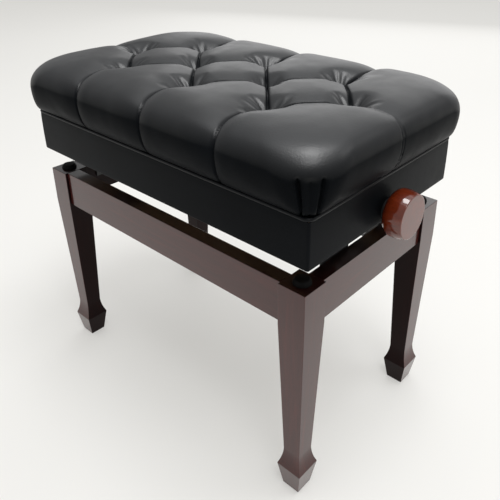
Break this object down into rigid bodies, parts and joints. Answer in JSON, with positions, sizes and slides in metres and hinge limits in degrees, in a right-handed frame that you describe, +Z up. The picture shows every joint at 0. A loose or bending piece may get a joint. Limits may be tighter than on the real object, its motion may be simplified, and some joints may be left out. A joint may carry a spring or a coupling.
{
  "type": "piano stool",
  "caption": "Piano stool with a diamond-tufted leather seat box on tapered spade-foot legs; turning an end knob raises the seat level on a screw-driven scissor lift.",
  "frame": {"origin": "on the floor under the middle of the stool", "axes": "+X along the length from knob to knob, +Y from front to back, +Z up"},
  "size_m": [0.627, 0.3672, 0.5305],
  "materials": {
    "stand_wood": "dark polished mahogany",
    "bumper_rubber": "matt",
    "black_steel": "black satin",
    "zinc_steel": "bright zinc",
    "box_wood": "raw plywood and softwood",
    "seat_leather": "black, fine grain, semi-matt",
    "knob_wood": "red-brown high gloss"
  },
  "bodies": {
    "stand": {"leg_front_left": "stand_wood", "leg_front_right": "stand_wood", "leg_back_left": "stand_wood", "leg_back_right": "stand_wood", "apron_front": "stand_wood", "apron_back": "stand_wood", "apron_left": "stand_wood", "apron_right": "stand_wood", "leg_bumpers": "bumper_rubber", "lower_bracket_front_left": "black_steel", "lower_bracket_front_right": "black_steel", "lower_bracket_back_left": "black_steel", "lower_bracket_back_right": "black_steel", "lower_bracket_screws": "zinc_steel", "lower_pivot_pins": "zinc_steel"},
    "seat": {"cushion": "seat_leather", "welt": "seat_leather", "border_cover": "seat_leather", "seat_board": "box_wood", "box_rail_front": "box_wood", "box_rail_back": "box_wood", "box_rail_left": "box_wood", "box_rail_right": "box_wood", "box_corner_blocks": "box_wood", "upper_bracket_front_left": "black_steel", "upper_bracket_front_right": "black_steel", "upper_bracket_back_left": "black_steel", "upper_bracket_back_right": "black_steel", "upper_bracket_screws": "zinc_steel", "upper_pivot_pins": "zinc_steel", "screw_bushings": "black_steel"},
    "lower_arms": {"lower_arm_front": "black_steel", "lower_arm_back": "black_steel", "lower_arm_rod": "black_steel", "centre_pins": "zinc_steel"},
    "upper_arms": {"upper_arm_front": "black_steel", "upper_arm_back": "black_steel", "upper_arm_rod": "black_steel", "slide_pins": "zinc_steel"},
    "nut": {"trunnion_nut": "zinc_steel", "trunnion_rings": "zinc_steel"},
    "screw": {"lead_screw": "zinc_steel", "screw_collars": "zinc_steel", "knob_left": "knob_wood", "knob_right": "knob_wood"}
  },
  "joints": [
    {"name": "seat_lift", "type": "slide", "parent": "stand", "child": "seat", "axis": [0, 0, 1], "range_m": [-0.029, 0.05]},
    {"name": "lower_arms_swing", "type": "hinge", "parent": "stand", "child": "lower_arms", "pos_m": [-0.226, 0, 0.326], "axis": [0, -1, 0], "range_deg": [-3.9, 6.6]},
    {"name": "upper_arms_swing", "type": "hinge", "parent": "seat", "child": "upper_arms", "pos_m": [-0.226, 0, 0.3925], "axis": [0, 1, 0], "range_deg": [-3.9, 6.6]},
    {"name": "nut_level", "type": "hinge", "parent": "lower_arms", "child": "nut", "pos_m": [0.2207, 0, 0.3925], "axis": [0, 1, 0], "range_deg": [-3.9, 6.6]},
    {"name": "screw_turn", "type": "hinge", "parent": "seat", "child": "screw", "pos_m": [0, 0, 0.3925], "axis": [1, 0, 0], "range_deg": [-930, 1590]}
  ],
  "couplings": [
    {"joint": "lower_arms_swing", "follows": "seat_lift", "rad_per_m": 2.25},
    {"joint": "upper_arms_swing", "follows": "seat_lift", "rad_per_m": 2.25},
    {"joint": "nut_level", "follows": "seat_lift", "rad_per_m": 2.25},
    {"joint": "screw_turn", "follows": "seat_lift", "rad_per_m": 546}
  ]
}
